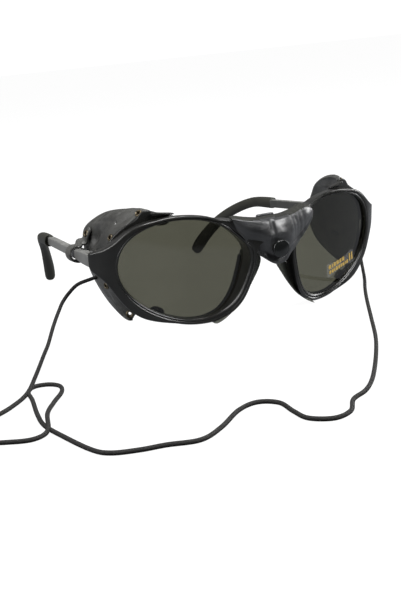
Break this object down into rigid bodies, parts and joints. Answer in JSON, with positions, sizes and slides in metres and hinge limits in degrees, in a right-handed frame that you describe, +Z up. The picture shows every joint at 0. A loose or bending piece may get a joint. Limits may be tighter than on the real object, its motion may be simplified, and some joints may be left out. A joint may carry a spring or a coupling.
{
  "type": "glacier glasses",
  "caption": "Round dark glasses with a leather nose cover on a snap, leather side shields, folding temples with soft curved tips and a thin neck cord.",
  "frame": {"origin": "on the table, in the middle of the footprint of the glasses without the neck cord", "axes": "+X to the wearer's left, +Y from the lenses back along the temples, so the front faces -Y, +Z up; the glasses stand on the lower rims and the temple tips"},
  "size_m": [0.2252, 0.2948, 0.0518],
  "materials": {
    "frame_black": "gloss",
    "lens_smoke": "gloss",
    "label_gold": "gloss",
    "pad_rubber": "matt",
    "nose_leather": "matt",
    "shield_leather": "matt",
    "snap_black": "gloss",
    "steel": "satin",
    "clip_black": "gloss",
    "eyelet_brass": "antique",
    "temple_grey": "satin",
    "tip_rubber": "matt",
    "cord_black": "matt"
  },
  "bodies": {
    "front": {"front_frame": "frame_black", "lens_right": "lens_smoke", "lens_left": "lens_smoke", "lens_sticker": "label_gold", "nose_pad_right": "pad_rubber", "nose_pad_left": "pad_rubber", "nose_cover": "nose_leather", "snap_cap": "snap_black", "snap_socket": "steel", "snap_stud": "steel", "snap_post": "snap_black", "shield_clip_right": "clip_black", "shield_clip_left": "clip_black", "shield_right": "shield_leather", "shield_left": "shield_leather", "shield_eyelets_right": "eyelet_brass", "shield_eyelets_left": "eyelet_brass", "strap_right": "shield_leather", "strap_left": "shield_leather", "strap_eyelet_right": "eyelet_brass", "strap_eyelet_left": "eyelet_brass", "hinge_screw_right": "steel", "hinge_screw_left": "steel", "cord_knot_right": "cord_black", "cord_knot_left": "cord_black", "cord": "cord_black"},
    "temple_left": {"temple_left": "temple_grey", "temple_tip_left": "tip_rubber"},
    "temple_right": {"temple_right": "temple_grey", "temple_tip_right": "tip_rubber"}
  },
  "joints": [
    {"name": "temple_left_fold", "type": "hinge", "parent": "front", "child": "temple_left", "pos_m": [0.0662, -0.0462, 0.032], "axis": [0, 0, 1], "range_deg": [0, 79], "deforming": ["shield_left", "shield_eyelets_left", "strap_left", "strap_eyelet_left", "shield_right"]},
    {"name": "temple_right_fold", "type": "hinge", "parent": "front", "child": "temple_right", "pos_m": [-0.0662, -0.0462, 0.032], "axis": [0, 0, -1], "range_deg": [0, 65], "deforming": ["shield_right", "shield_eyelets_right", "strap_right", "strap_eyelet_right"]}
  ]
}
